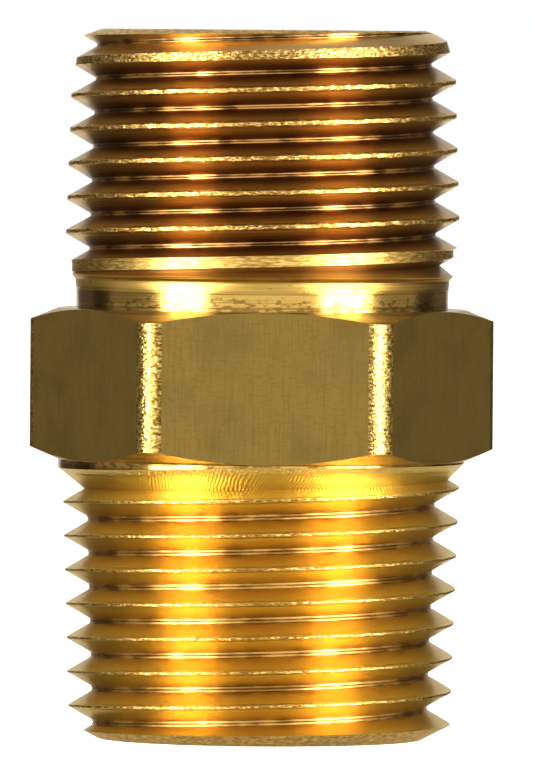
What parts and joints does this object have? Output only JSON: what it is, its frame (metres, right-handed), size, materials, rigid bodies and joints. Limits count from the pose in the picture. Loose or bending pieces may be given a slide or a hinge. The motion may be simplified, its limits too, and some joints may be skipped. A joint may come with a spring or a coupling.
{
  "type": "hex nipple",
  "caption": "Straight pipe nipple machined from hexagon bar: a wrench hexagon between two male taper pipe threads, with a bore right through.",
  "frame": {"origin": "centre of the lower end face, on the bore's axis", "axes": "+Z along the bore from the end whose thread runs right up to the hexagon to the end with the plain shank; the front and back wrench flats face -Y and +Y"},
  "size_m": [0.0248, 0.022, 0.0379],
  "materials": {
    "brass": "machined from drawn hexagon bar: bright turned threads and shank, duller drawn flats"
  },
  "bodies": {
    "root": {"hex_nipple_body": "brass"}
  },
  "joints": []
}
